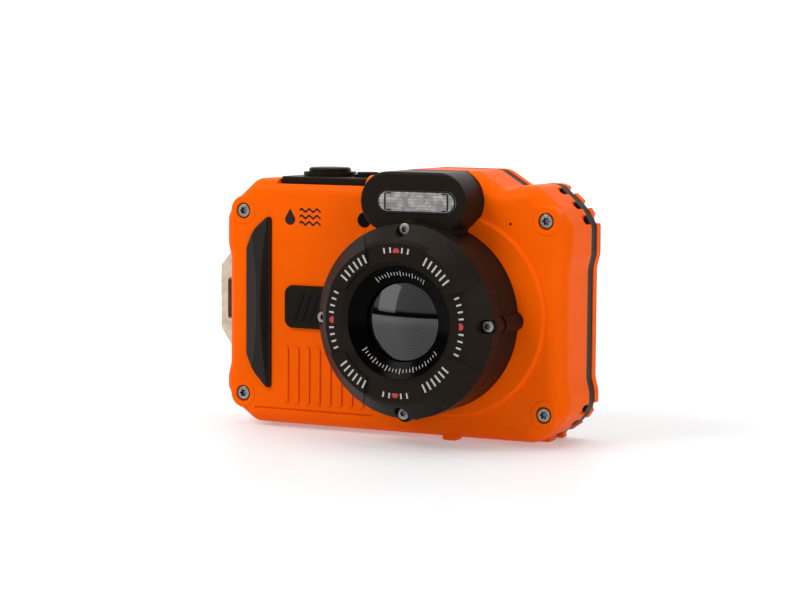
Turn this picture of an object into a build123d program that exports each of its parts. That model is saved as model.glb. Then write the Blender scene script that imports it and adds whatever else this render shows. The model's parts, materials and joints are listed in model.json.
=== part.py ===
from build123d import *
import os
from math import cos, radians, sin

# Waterproof compact action camera, in millimetres. +X is the viewer's right when facing
# the lens, the front faces -Y and +Z is up. The parts are drawn about the middle of the
# base and saved with the centre of the tripod socket's mouth, below the lens, as origin.

# Body envelope
HALF_W = 54.9
LOBE_W = 55.9
CORNER_HALF = 52.7
BASE_HALF = 45.8
BASE_Z = 1.0
SHOULDER_HALF = 45.5
SHOULDER_Z = 73.9
HUMP_X0 = 5.5
HUMP_X1 = 27.3
HUMP_Z = 77.7
DIP_X = 35.5
DIP_Z = 72.6
FRONT_Y = -13.0
REAR_Y = 13.0
BOW_R = 2500.0
EDGE_R = 4.5
REAR_EDGE_R = 1.5

# Joint between the two shells
SEAM_FRONT_Y = 5.0
SEAM_REAR_Y = 9.2
GASKET_INSET = 0.25
NOTCH_R = 1.5
NOTCH_Y = 2.2

# Hollow inside
WALL = 2.0
CAVITY_HALF_W = 51.4
CAVITY_Z0 = 3.4
CAVITY_Z1 = 70.4
CAVITY_CHAMFER = 8.2
REAR_WALL_Y = 11.2

# Case screws, one in each corner
SCREW_X_LEFT = -48.75
SCREW_X_RIGHT = 49.55
SCREW_ZS = (9.6, 64.2)
SCREW_BOSS_R = 4.4
SCREW_BOSS_Y = -12.75
SCREW_HEAD_R = 2.05
SCREW_HEAD_H = 1.2
SCREW_SHANK_R = 1.0
SCREW_END_Y = 11.3

# Feet: the front middle one, then the pairs under both shells
FOOT_X0 = 17.1
FOOT_X1 = 21.3
FOOT_Y0 = -11.0
FOOT_Y1 = -7.0
SIDE_FOOT_X = 43.0
SIDE_FOOT_W = 6.0

# Lens: every round part of it shares this axis, along Y
LENS_X = 14.85
LENS_Z = 35.85
FLANGE_R = 26.9
FLANGE_Y0 = -24.6
FLANGE_Y1 = -10.0
COWL_BORE_R = 16.0
COWL_HOLLOW = (18.5, 24.0, -21.6)
SEAL_R = 24.6
BEZEL_R = 27.4
BEZEL_Y1 = -25.8
BEZEL_FACE_Y = -36.8
BEZEL_HOLLOW = (14.8, 17.9, -31.3)
PAD_R = 27.2
PAD_FACE_Y = -37.4
EAR_RING_R = 25.9
EAR_R = 2.55
EAR_FACE_Y = -30.5
COWL_EAR_R = 2.7
RING_SCREW_R = 0.8
RING_SCREW_HEAD_R = 1.75
RING_SCREW_END_Y = -20.0
RING_SCREW_ANGLES = (0, 90, 180, 270)
PAD_ANGLES = (45, 135, 225, 315)
GLASS_R = 12.6
GLASS_Y0 = -32.15
GLASS_Y1 = -30.95

# Zoom barrels: radius, front and rear
OUTER_BARREL = (14.2, -19.5, -6.0)
INNER_BARREL = (12.6, -29.0, -17.0)
BARREL_WALL = 1.0
BARREL_GAP = 0.1
LENS_TUBE_R = 17.0

# Flash housing above the lens: a stadium on a neck
FLASH_X = 13.75
FLASH_Z = 69.0
FLASH_W = 33.3
FLASH_H = 17.0
NECK_X0 = 3.5
NECK_X1 = 26.0
NECK_Z0 = 50.0
FLASH_FRONT_Y = -25.0
FLASH_LIP_Y = -23.8
FLASH_REAR_Y = -9.0
FLASH_WINDOW_X = 15.15
FLASH_WINDOW_Z = 69.15
FLASH_WINDOW_W = 24.8
FLASH_WINDOW_H = 6.5
FLASH_BAY_HALF = 12.8
REFLECTOR_HALF = 12.5
TUBE_HALF = 10.5
TUBE_Y = -22.0

# Top control plate and its two buttons
PLATE_X0 = -38.0
PLATE_X1 = -8.0
PLATE_Y0 = -9.8
PLATE_Y1 = 9.5
PLATE_Z0 = 72.4
PLATE_Z1 = 74.6
BUTTON_WELL_Z = 73.2
SHUTTER_X = -26.4
SHUTTER_COLLAR_R = 7.85
SHUTTER_R = 6.25
SHUTTER_Z1 = 77.2
POWER_X = -13.6
POWER_COLLAR_R = 4.3
POWER_R = 3.3
POWER_Z1 = 76.1
STEM_R = 2.0
POWER_STEM_R = 1.5
STEM_FIT = 0.05

# Side door over the battery, the card and the data port
DOOR_Z0 = 13.5
DOOR_Z1 = 59.5
DOOR_Y0 = -3.7
DOOR_Y1 = 2.4
DOOR_X0 = -54.7
DOOR_X1 = -52.8
DOOR_POCKET_X = -52.7
PLUG_X = -51.1
PLUG_Y0 = -2.7
PLUG_Y1 = 2.0
PLUG_Z0 = 15.2
PLUG_Z1 = 58.0
DOOR_SEAL_W = 0.3
HINGE_X = -53.6
HINGE_Y = 3.7
HINGE_PIN_R = 0.6
KNUCKLE_R = 1.1
KNUCKLE_SPANS = ((13.8, 22.0), (51.0, 59.2))
LATCH_X0 = -54.6
LATCH_X1 = -53.7
LATCH_Y0 = -1.6
LATCH_Y1 = 1.1
LATCH_Z1 = 27.0
LATCH_TRAVEL = 2.5
LATCH_RIDGES = (20.0, 21.8, 23.6)
BAY_Y0 = -3.2
BAY_Y1 = 2.5
BAY_Z0 = 14.6
BAY_Z1 = 58.5

# Rear controls, on the side away from the screen: centre X and Z, radius
NAV_X = -31.0
NAV_Z = 37.5
NAV_R = 9.3
NAV_DOME_R = 7.0
OK_R = 3.9
KEY_R = 3.0
KEY_GAP = 0.15
KEYS = {
    "record_button": (-18.3, 55.0),
    "play_button": (-43.2, 55.0),
    "menu_button": (-43.2, 20.5),
    "delete_button": (-18.3, 20.5),
}
ROCKER_X = -31.0
ROCKER_Z = 63.5
ROCKER_W = 17.0
ROCKER_H = 5.4
MEMBRANE_Y0 = 10.1
MEMBRANE_Y1 = 11.0

# Screen
SCREEN_X0 = -8.0
SCREEN_X1 = 50.0
SCREEN_Z0 = 12.5
SCREEN_Z1 = 60.5
SCREEN_SEAT_Y = 11.9
SCREEN_FACE_Y = 13.1
SCREEN_FRAME = 2.5

# Tripod socket, 1/4 inch
SOCKET_Y = -1.0
SOCKET_R = 4.3
SOCKET_BORE_R = 3.175
SOCKET_DEPTH = 6.2
SOCKET_TOP_Z = 8.4

# Grip on the front face
GRIP_X0 = -47.4
GRIP_X1 = -39.1
GRIP_BEND_X = -43.8
GRIP_Z0 = 10.6
GRIP_Z1 = 63.5
GRIP_CREST_Y = -15.6
GRIP_BACK_Y = -11.9
GRIP_DOME_R = 170.4

# Plaque, relief, ribs and groove on the front face
PLAQUE_X0 = -34.0
PLAQUE_X1 = -12.0
PLAQUE_Z0 = 30.2
PLAQUE_Z1 = 42.6
PLAQUE_LIFT = 0.8
PLAQUE_SINK = 0.35
RELIEF_X = 20.5
RELIEF_Z = 36.6
RELIEF_R = 29.4
RELIEF_LIFT = 1.2
RELIEF_CHAMFER = 0.9
RIB_X0 = -35.0
RIB_PITCH = 3.63
RIB_COUNT = 9
RIB_W = 1.9
RIB_Z0 = 7.7
RIB_Z1 = 24.6
RIB_LIFT = 0.4
GROOVE_X0 = -44.8
GROOVE_X1 = -5.0
GROOVE_Z0 = 5.5
GROOVE_Z1 = 6.0
GROOVE_DEPTH = 0.4

# Focus lamp and microphone
LAMP_X = -7.8
LAMP_Z = 62.7
LAMP_R = 2.2
LAMP_FRONT_Y = -12.75
MIC_X = 38.6
MIC_Z = 63.1
MIC_HOLE_R = 0.45

# Strap lug on the side of the body
LUG_Y0 = -6.6
LUG_Y1 = -4.2
LUG_X0 = -60.1
LUG_X1 = -51.4
LUG_Z0 = 22.5
LUG_Z1 = 51.0
STRAP_SLOT_X = -56.6
STRAP_SLOT_Z = 37.2
STRAP_SLOT_L = 13.0
STRAP_SLOT_W = 2.4

# Speaker in the base
SPEAKER_X = -23.0
SPEAKER_Y = -6.2

# Zoom motor beside the lens tube
MOTOR_X = 37.6
MOTOR_Z = 52.0

# Inner boxes, each as its X, Y and Z spans
BATTERY = (-50.4, -10.4, -3.1, 2.4, 15.0, 46.5)
TRAY_OUTER = (-50.9, -9.0, -3.9, 3.2, 14.2, 47.3)
TRAY_INNER = (-52.0, -10.0, -3.2, 2.5, 14.8, 46.7)
CARD_HOUSING = (-49.5, -34.0, 0.3, 2.3, 47.6, 58.8)
CARD_SLOT = (-52.0, -35.3, 0.7, 1.8, 48.1, 58.3)
CARD = (-50.4, -35.4, 0.75, 1.75, 48.2, 58.2)
PORT_OUTER = (-50.4, -44.0, -2.9, -0.1, 49.0, 57.6)
PORT_INNER = (-51.0, -46.0, -2.4, -0.6, 49.6, 57.0)
MAIN_BOARD = (-7.0, 43.0, 4.45, 5.65, 14.5, 59.0)
KEY_BOARD = (-45.0, -11.0, 8.7, 9.5, 16.0, 60.0)
SWITCH_BOARD = (-33.0, -9.5, -3.5, 3.5, 64.4, 65.2)
DISPLAY = (-5.3, 47.3, 8.2, 11.1, 15.2, 57.8)
DISPLAY_GLASS = (-4.8, 46.8, 11.0, 11.8, 15.7, 57.3)

FIT = 0.1


# Drawing helpers: sketches are drawn in X and Z, seen from the front


def slab(sketch, y_front, y_rear):
    """An X-Z sketch given depth between two Y planes."""
    return extrude(Plane.XZ.offset(-y_rear) * sketch, y_rear - y_front, dir=(0, -1, 0))


def rod_y(x, z, radius, y_front, y_rear):
    """A round bar along Y."""
    return slab(Pos(x, z) * Circle(radius), y_front, y_rear)


def rod_z(x, y, radius, z_low, z_high):
    """A round bar along Z."""
    return Pos(x, y, z_low) * extrude(Circle(radius), z_high - z_low)


def block(x0, x1, y0, y1, z0, z1):
    """A box between two corners."""
    centre = ((x0 + x1) / 2, (y0 + y1) / 2, (z0 + z1) / 2)
    return Pos(*centre) * Box(x1 - x0, y1 - y0, z1 - z0)


def rounded_box(x0, x1, y0, y1, z0, z1, radius):
    """A box whose four edges along Y are rounded."""
    sketch = Pos((x0 + x1) / 2, (z0 + z1) / 2) * RectangleRounded(x1 - x0, z1 - z0, radius)
    return slab(sketch, y0, y1)


def turned(points):
    """A ring about the lens axis from a closed (radius, y) profile."""
    profile = make_face(Polyline([(r, y) for r, y in points], close=True))
    return Pos(LENS_X, 0, LENS_Z) * revolve(profile, Axis.Y)


def ring_y(x, z, outer_r, inner_r, y_front, y_rear):
    """A flat ring about an axis along Y."""
    return slab(Pos(x, z) * (Circle(outer_r) - Circle(inner_r)), y_front, y_rear)


def rounded_polygon(corners):
    """A closed outline from (x, z, corner radius) points."""
    sketch = make_face(Polyline([(x, z) for x, z, radius in corners], close=True))
    for x, z, radius in corners:
        vertex = sketch.vertices().sort_by_distance((x, z, 0))[0]
        sketch = fillet(vertex, radius)
    return sketch


def bow(lift=0.0):
    """Everything behind the front face, which is a shallow cylinder with a vertical axis."""
    return Pos(0, FRONT_Y + BOW_R, SHOULDER_Z / 2) * Cylinder(BOW_R + lift, 200)


def polar(radius, angle):
    """A point around the lens axis, seen from the front; angle 0 is +X and 90 is up."""
    return LENS_X + radius * cos(radians(angle)), LENS_Z + radius * sin(radians(angle))


def screw_places():
    """The four case screws, as (x, z)."""
    return [(x, z) for x in (SCREW_X_LEFT, SCREW_X_RIGHT) for z in SCREW_ZS]


def ring_screw_places():
    """The four screws of the lens bezel, as (x, z)."""
    return [polar(EAR_RING_R, angle) for angle in RING_SCREW_ANGLES]


def fused(pieces):
    """One solid from overlapping pieces."""
    whole = pieces[0]
    for piece in pieces[1:]:
        whole = whole + piece
    return whole


# Body shells


def body_outline():
    """The outline of the body: straight sides, flared corners and the hump over the lens."""
    lower_side = [(BASE_HALF, BASE_Z, 5), (CORNER_HALF, 5.8, 8), (LOBE_W, 10.4, 5), (LOBE_W, 14.5, 6)]
    upper_side = [(LOBE_W, 54, 6), (LOBE_W, 62.8, 5), (CORNER_HALF, 67.6, 8)]
    right = lower_side + [(HALF_W, 18.5, 8), (HALF_W, 50, 8)] + upper_side
    right += [(SHOULDER_HALF, SHOULDER_Z, 5)]
    hump = [(DIP_X + 5, SHOULDER_Z, 5), (DIP_X, DIP_Z, 4), (HUMP_X1, HUMP_Z, 6), (HUMP_X0, HUMP_Z, 16)]
    step = [(-8.6, 75.4, 5), (-10.4, SHOULDER_Z, 1.5)]
    left = [(-x, z, radius) for x, z, radius in reversed(right)]
    return rounded_polygon(right + hump + step + left)


def notches():
    """Round notches that scallop the corners at the seam and fade out towards the front."""
    upper = ((47.2, 71.6), (51.7, 67.8), (54.8, 64.0))
    lower = ((47.3, 1.6), (51.8, 6.1), (55.2, 9.8))
    cuts = []
    for x, z in upper + lower:
        for side in (-1, 1):
            cuts.append(Pos(side * x, NOTCH_Y, z) * Sphere(NOTCH_R))
            cuts.append(rod_y(side * x, z, NOTCH_R, NOTCH_Y, REAR_Y + 1))
    return fused(cuts)


def cavity_outline():
    """The outline of the hollow, which leaves solid corners around the case screws."""
    height = CAVITY_Z1 - CAVITY_Z0
    hollow = Pos(0, CAVITY_Z0 + height / 2) * Rectangle(2 * CAVITY_HALF_W, height)
    hollow = chamfer(hollow.vertices(), CAVITY_CHAMFER)
    for x, z in screw_places():
        hollow -= Pos(x, z) * Circle(SCREW_BOSS_R + 0.2)
    return hollow


def plate_pocket():
    """The seat of the control plate, cut across the seam."""
    return block(PLATE_X0 - FIT, PLATE_X1 + FIT, PLATE_Y0 - 4, PLATE_Y1 + FIT, PLATE_Z0, 80)


def grip_outline():
    """The D outline of the grip pad, with its straight edge towards the lens."""
    corners = [(GRIP_X1, GRIP_Z0, 0.8), (GRIP_X1, GRIP_Z1, 0.8), (GRIP_BEND_X, GRIP_Z1 - 4.2, 3)]
    corners += [(GRIP_X0, GRIP_Z1 - 10.3, 3), (GRIP_X0, GRIP_Z0 + 11, 3)]
    corners += [(GRIP_BEND_X, GRIP_Z0 + 5.4, 3)]
    return rounded_polygon(corners)


def flash_outline():
    """The flash housing seen from the front; its neck runs down into the lens flange."""
    stadium = Pos(FLASH_X, FLASH_Z) * SlotOverall(FLASH_W, FLASH_H)
    neck_size = Rectangle(NECK_X1 - NECK_X0, FLASH_Z - NECK_Z0)
    neck = Pos((NECK_X0 + NECK_X1) / 2, (FLASH_Z + NECK_Z0) / 2) * neck_size
    outline = stadium + neck
    inner_corners = outline.vertices().filter_by_position(Axis.Y, NECK_Z0 + 1, FLASH_Z - 1)
    return fillet(inner_corners, 1.2)


def door_pocket():
    """The recess in the side wall that the closed door fills, with the hinge's seat."""
    z0, z1 = DOOR_Z0 - FIT, DOOR_Z1 + FIT
    door = block(-60, DOOR_POCKET_X, DOOR_Y0 - FIT, DOOR_Y1 + FIT, z0, z1)
    hinge = block(-60, HINGE_X + KNUCKLE_R + FIT, DOOR_Y1, SEAM_FRONT_Y, z0, z1)
    seat_z = DOOR_Z0 - LATCH_TRAVEL - 0.7
    seat = block(LATCH_X0 - 0.15, LATCH_X1 + 0.15, LATCH_Y0 - 0.2, LATCH_Y1 + 0.2, seat_z, DOOR_Z0)
    return door + hinge + seat


def front_relief():
    """The round step behind the lens and the row of upright ribs."""
    step = slab(Pos(RELIEF_X, RELIEF_Z) * Circle(RELIEF_R), -16, 0) & bow(RELIEF_LIFT)
    step = chamfer(step.faces().sort_by(Axis.Y)[0].edges(), RELIEF_CHAMFER)
    ribs = []
    for index in range(RIB_COUNT):
        x = RIB_X0 + index * RIB_PITCH
        ribs.append(rounded_box(x, x + RIB_W, -16, 0, RIB_Z0, RIB_Z1, 0.8))
    return [step] + [rib & bow(RIB_LIFT) for rib in ribs]


def front_cavity():
    """The hollow of the front shell, held back from the seats of the cowl and the flash."""
    hollow = slab(cavity_outline(), -16, SEAM_FRONT_Y) & bow(-WALL)
    hollow -= rod_y(LENS_X, LENS_Z, FLANGE_R + WALL, -16, FLANGE_Y1 + 1.8)
    flash_x0 = FLASH_X - FLASH_W / 2 - WALL
    flash_x1 = FLASH_X + FLASH_W / 2 + WALL
    hollow -= block(flash_x0, flash_x1, -16, FLASH_REAR_Y + 1.8, LENS_Z + LENS_TUBE_R + 0.6, CAVITY_Z1)
    hollow -= rod_z(LENS_X, SOCKET_Y, SOCKET_R + WALL, 0, SOCKET_TOP_Z + 1.5)
    return hollow


def foot(x0, x1, y0, y1):
    """A low foot with a chamfered sole; its upper part is buried in the shell."""
    stub = block(x0, x1, y0, y1, 0, BASE_Z + 2)
    return chamfer(stub.faces().sort_by(Axis.Z)[0].edges(), 0.4)


def side_feet(y0, y1):
    """A pair of feet, one near each end of the base."""
    half = SIDE_FOOT_W / 2
    return [foot(x - half, x + half, y0, y1) for x in (-SIDE_FOOT_X, SIDE_FOOT_X)]


def front_shell():
    """The front half of the case."""
    shell = slab(body_outline(), -16, SEAM_FRONT_Y) & bow()
    face = shell.faces().sort_by(Axis.Y)[0]
    shell = fillet(face.edges(), EDGE_R)
    bosses = [rod_y(x, z, SCREW_BOSS_R, SCREW_BOSS_Y, SEAM_FRONT_Y) for x, z in screw_places()]
    bosses = [chamfer(boss.edges().sort_by(Axis.Y)[0], 0.5) for boss in bosses]
    feet = [foot(FOOT_X0, FOOT_X1, FOOT_Y0, FOOT_Y1)] + side_feet(0.0, 4.0)
    shell = fused([shell] + front_relief() + bosses + feet)
    for cut in [front_cavity(), notches(), plate_pocket(), door_pocket()] + front_seats():
        shell -= cut
    shell -= block(-56, -50, BAY_Y0, BAY_Y1, BAY_Z0, BAY_Z1)
    shell -= rod_z(HINGE_X, HINGE_Y, HINGE_PIN_R, DOOR_Z0 - 1, DOOR_Z1 + 1)
    shell -= block(-58, LUG_X1 + FIT, LUG_Y0, LUG_Y1, LUG_Z0 - FIT, LUG_Z1 + FIT)
    shell -= rod_z(SHUTTER_X, 0, STEM_R + STEM_FIT, 60, 80)
    shell -= rod_z(POWER_X, 0, POWER_STEM_R + STEM_FIT, 60, 80)
    shell -= rod_z(LENS_X, SOCKET_Y, SOCKET_R, 0, SOCKET_TOP_Z)
    for x in (SPEAKER_X - 3, SPEAKER_X, SPEAKER_X + 3):
        shell -= block(x - 0.5, x + 0.5, -8.5, -5.5, 0, CAVITY_Z0 + 0.1)
    for x, z in screw_places():
        floor_y = SCREW_BOSS_Y + SCREW_HEAD_H + 0.15
        shell -= rod_y(x, z, SCREW_HEAD_R + 0.35, -16, floor_y)
        shell -= rod_y(x, z, SCREW_SHANK_R + STEM_FIT, -16, SEAM_FRONT_Y)
    return shell


def front_seats():
    """The pockets and holes of the front face: grip, lens, flash, plaque, groove and lamp."""
    seats = [slab(offset(grip_outline(), FIT), -16, GRIP_BACK_Y)]
    seats.append(rod_y(LENS_X, LENS_Z, FLANGE_R + FIT, -16, FLANGE_Y1))
    seats += [rod_y(x, z, COWL_EAR_R + FIT, -16, FLANGE_Y1) for x, z in ring_screw_places()]
    seats.append(rod_y(LENS_X, LENS_Z, COWL_BORE_R - 0.5, -16, 0))
    seats.append(slab(offset(flash_outline(), FIT), -16, FLASH_REAR_Y))
    seats.append(block(NECK_X0, NECK_X1 - 2, -16, FLASH_REAR_Y, FLASH_Z, 80))
    seats.append(rounded_box(LENS_X - 6, LENS_X + 6, -16, 0, 64, 68, 1))
    seats.append(bow(2) & slab(plaque_outline(FIT), -16, 0) - bow(-PLAQUE_SINK))
    seats.append(block(GROOVE_X0, GROOVE_X1, -16, -5, GROOVE_Z0, GROOVE_Z1) - bow(-GROOVE_DEPTH))
    seats.append(rod_y(LAMP_X, LAMP_Z, LAMP_R + STEM_FIT, -16, -7))
    seats.append(rod_y(MIC_X, MIC_Z, MIC_HOLE_R, -16, -7))
    return seats


def body_gasket():
    """The dark seal between the shells; it shows in the corner notches."""
    outline = offset(body_outline(), -GASKET_INSET) - cavity_outline()
    ring = slab(outline, SEAM_FRONT_Y, SEAM_REAR_Y)
    for x, z in screw_places():
        ring -= rod_y(x, z, SCREW_SHANK_R + STEM_FIT, 0, 12)
    return ring - plate_pocket()


def thumb_rest():
    """Three raised bars that the thumb rests on."""
    return [rounded_box(-51.4, -48.6, 12, REAR_Y + 0.6, z, z + 7, 1.3) for z in (27, 36, 45)]


def rear_shell():
    """The rear half of the case, with openings for the screen and the controls."""
    shell = slab(body_outline(), SEAM_REAR_Y, REAR_Y)
    face = shell.faces().sort_by(Axis.Y)[-1]
    shell = fillet(face.edges(), REAR_EDGE_R)
    shell = fused([shell] + thumb_rest() + side_feet(9.4, 12.0))
    shell -= slab(cavity_outline(), SEAM_REAR_Y, REAR_WALL_Y)
    shell -= notches()
    shell -= plate_pocket()
    shell -= rounded_box(SCREEN_X0, SCREEN_X1, SCREEN_SEAT_Y, 14, SCREEN_Z0, SCREEN_Z1, 2.5)
    inner_x0, inner_x1 = SCREEN_X0 + SCREEN_FRAME, SCREEN_X1 - SCREEN_FRAME
    inner_z0, inner_z1 = SCREEN_Z0 + SCREEN_FRAME, SCREEN_Z1 - SCREEN_FRAME
    shell -= rounded_box(inner_x0, inner_x1, 8, 14, inner_z0, inner_z1, 1)
    for x, z in KEYS.values():
        shell -= rod_y(x, z, KEY_R + KEY_GAP, 8, 14)
    shell -= rod_y(NAV_X, NAV_Z, NAV_R + 2 * KEY_GAP, 8, 14)
    shell -= slab(rocker_outline(2 * KEY_GAP), 8, 14)
    for x, z in screw_places():
        shell -= rod_y(x, z, SCREW_SHANK_R + STEM_FIT, 8, SCREW_END_Y + 0.2)
    return shell


def star_recess(place, y_face, radius, depth):
    """A star-shaped driver recess in the face of a screw head."""
    lobes = PolarLocations(radius * 0.75, 6) * Circle(radius * 0.27)
    star = Pos(*place) * (Circle(radius * 0.72) + lobes)
    return slab(star, y_face - 1, y_face + depth)


def case_screw(x, z):
    """A case screw: domed head with a star recess, shank down to the rear shell."""
    face_y = SCREW_BOSS_Y + 0.15
    head = rod_y(x, z, SCREW_HEAD_R, face_y, face_y + SCREW_HEAD_H)
    head = fillet(head.edges().sort_by(Axis.Y)[0], 0.35)
    shank = rod_y(x, z, SCREW_SHANK_R, face_y + 1, SCREW_END_Y)
    return head + shank - star_recess((x, z), face_y, 1.15, 0.8)


# Lens cowl and bezel


def cowl_hollow():
    """The ring-shaped hollow in the back of the cowl, held back from the screw bosses."""
    inner_r, outer_r, y_front = COWL_HOLLOW
    hollow = ring_y(LENS_X, LENS_Z, outer_r, inner_r, y_front, 0)
    for x, z in ring_screw_places():
        hollow -= rod_y(x, z, 2.9, -30, 0)
    return hollow


def front_cowl():
    """The black cowl: the lens flange and the flash housing in one moulding."""
    flange = rod_y(LENS_X, LENS_Z, FLANGE_R, FLANGE_Y0, FLANGE_Y1)
    flange = fillet(flange.edges().sort_by(Axis.Y)[0], 0.8)
    housing = slab(flash_outline(), FLASH_FRONT_Y, FLASH_REAR_Y)
    housing = fillet(housing.faces().sort_by(Axis.Y)[0].edges(), 0.9)
    housing -= rod_y(LENS_X, LENS_Z, FLANGE_R - 0.4, -30, FLANGE_Y0)
    housing -= block(NECK_X0 - 1, NECK_X1 + 1, FLANGE_Y1, 0, NECK_Z0 - 1, LENS_Z + FLANGE_R - 2)
    ears = [rod_y(x, z, COWL_EAR_R, FLANGE_Y0, FLANGE_Y1) for x, z in ring_screw_places()]
    cowl = fused([flange, housing] + ears)
    cowl -= rod_y(LENS_X, LENS_Z, COWL_BORE_R, -30, 0)
    cowl -= cowl_hollow()
    cowl -= flash_slot(FIT, -30, FLASH_LIP_Y)
    bay_x0 = FLASH_WINDOW_X - FLASH_BAY_HALF
    bay_x1 = FLASH_WINDOW_X + FLASH_BAY_HALF
    cowl -= rounded_box(bay_x0, bay_x1, FLASH_LIP_Y - FIT, 0, 64.6, 73.6, 1.5)
    for x, z in ring_screw_places():
        cowl -= rod_y(x, z, RING_SCREW_R + STEM_FIT, -30, RING_SCREW_END_Y + 2)
    return cowl


def flash_slot(gap, y_front, y_rear):
    """The stadium shape of the flash window."""
    slot = SlotOverall(FLASH_WINDOW_W + 2 * gap, FLASH_WINDOW_H + 2 * gap)
    return slab(Pos(FLASH_WINDOW_X, FLASH_WINDOW_Z) * slot, y_front, y_rear)


def bezel_seal():
    """The seal ring in the groove between the cowl and the bezel."""
    ring = ring_y(LENS_X, LENS_Z, SEAL_R, 18.5, FLANGE_Y0, BEZEL_Y1)
    for x, z in ring_screw_places():
        ring -= rod_y(x, z, 1.6, -30, 0)
    return ring


def bezel_pad(angle):
    """A raised pad on the bezel, with a flat outer facet."""
    profile = [(17.9, -34), (17.9, PAD_FACE_Y), (22.4, -37.3), (26.4, -32.6), (PAD_R, -31)]
    sector = turned(profile + [(PAD_R, -26.6), (19, -26.6)])
    wedge_points = [(17.2, -15), (22.4, -20), (26.9, -17), (26.9, 17), (22.4, 20), (17.2, 15)]
    corners = [polar(radius, angle + turn) for radius, turn in wedge_points]
    wedge = make_face(Polyline(corners + [polar(16.9, angle)], close=True))
    return sector & slab(wedge, -40, -26)


def lens_bezel():
    """The screwed bezel that clamps the cover glass."""
    outer = [(13.2, BEZEL_Y1), (BEZEL_R, BEZEL_Y1), (BEZEL_R, -31), (23.4, -35.6), (22.4, -36.4)]
    mouth = [(17.4, BEZEL_FACE_Y), (16, -35.1), (16, GLASS_Y0), (GLASS_R + FIT, GLASS_Y0)]
    seat = [(GLASS_R + FIT, -30.45), (11.8, -30.45), (11.8, -29.45), (13.2, -29.45)]
    bezel = turned(outer + mouth + seat)
    pads = [bezel_pad(angle) for angle in PAD_ANGLES]
    ears = [rod_y(x, z, EAR_R, EAR_FACE_Y, BEZEL_Y1) for x, z in ring_screw_places()]
    bezel = fused([bezel] + pads + ears)
    inner_r, outer_r, y_front = BEZEL_HOLLOW
    bezel -= ring_y(LENS_X, LENS_Z, outer_r, inner_r, y_front, 0)
    for x, z in ring_screw_places():
        bezel -= rod_y(x, z, RING_SCREW_HEAD_R + 0.25, -40, EAR_FACE_Y)
        bezel -= rod_y(x, z, RING_SCREW_R + STEM_FIT, -40, -20)
    return bezel


def bezel_screw(x, z):
    """A bezel screw: cap head with a star recess."""
    face_y = EAR_FACE_Y - SCREW_HEAD_H
    head = rod_y(x, z, RING_SCREW_HEAD_R, face_y, EAR_FACE_Y)
    head = fillet(head.edges().sort_by(Axis.Y)[0], 0.3)
    shank = rod_y(x, z, RING_SCREW_R, EAR_FACE_Y - 0.2, RING_SCREW_END_Y)
    return head + shank - star_recess((x, z), face_y, 0.95, 0.7)


def mask_ring():
    """The glossy black cone around the cover glass."""
    return turned([(11.3, -32.2), (15.95, -32.2), (15.95, -35.0), (11.3, -32.7)])


def lens_window():
    """The flat cover glass."""
    return rod_y(LENS_X, LENS_Z, GLASS_R, GLASS_Y0 - 0.05, GLASS_Y1)


def window_seal():
    """The seal ring under the cover glass."""
    return ring_y(LENS_X, LENS_Z, GLASS_R, 11.85, GLASS_Y1, -30.45)


# Zoom optics


def barrel(size):
    """A thin tube from (radius, front, rear)."""
    radius, y_front, y_rear = size
    return ring_y(LENS_X, LENS_Z, radius, radius - BARREL_WALL, y_front, y_rear)


def outer_barrel():
    """The outer zoom barrel, bored for the inner one."""
    radius, y_front, y_rear = OUTER_BARREL
    bore = INNER_BARREL[0] + BARREL_GAP
    return ring_y(LENS_X, LENS_Z, radius, bore, y_front, y_rear)


def inner_barrel():
    """The inner zoom barrel with the seat of the rear lens."""
    radius, y_front, y_rear = INNER_BARREL
    seat = ring_y(LENS_X, LENS_Z, radius, 8.0, y_rear - 1.2, y_rear)
    return barrel(INNER_BARREL) + seat


def front_element():
    """The domed front lens."""
    radius = INNER_BARREL[0] - BARREL_WALL - 0.02
    dome = Pos(LENS_X, -28.85 + 32, LENS_Z) * Sphere(32)
    return rod_y(LENS_X, LENS_Z, radius, -29, -25.6) & dome


def rear_element():
    """The rear lens."""
    return rod_y(LENS_X, LENS_Z, 7.98, -18.6, -17.1)


def lens_base():
    """The tube that carries the barrels, with a rear plate for the image sensor."""
    tube = ring_y(LENS_X, LENS_Z, LENS_TUBE_R, OUTER_BARREL[0] + BARREL_GAP, -8.2, 2.0)
    plate = rod_y(LENS_X, LENS_Z, LENS_TUBE_R, 2.0, 3.0)
    plate -= block(LENS_X - 4.5, LENS_X + 4.5, 0, 5, LENS_Z - 3.5, LENS_Z + 3.5)
    return tube + plate


def image_sensor():
    """The image sensor behind the lens base."""
    carrier = block(LENS_X - 6, LENS_X + 6, 3.0, 4.4, LENS_Z - 5, LENS_Z + 5)
    chip = block(LENS_X - 4, LENS_X + 4, 2.5, 3.0, LENS_Z - 3, LENS_Z + 3)
    return carrier + chip


def zoom_motor():
    """The motor that drives the barrels, with its pinion."""
    return rod_y(MOTOR_X, MOTOR_Z, 3.2, -6, 2) + rod_y(MOTOR_X, MOTOR_Z, 1.2, -7.5, -6)


# Flash


def flash_window():
    """The clear flash window."""
    return flash_slot(0, FLASH_FRONT_Y - 0.2, FLASH_LIP_Y)


def flash_tube():
    """The xenon tube with its end caps."""
    bars = [(0, 0.9, 2 * TUBE_HALF), (-TUBE_HALF - 0.5, 1.15, 2), (TUBE_HALF + 0.5, 1.15, 2)]
    turn = Rot(0, 90, 0)
    return fused([
        Pos(FLASH_WINDOW_X + shift, TUBE_Y, FLASH_WINDOW_Z) * turn * Cylinder(radius, length)
        for shift, radius, length in bars
    ])


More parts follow.
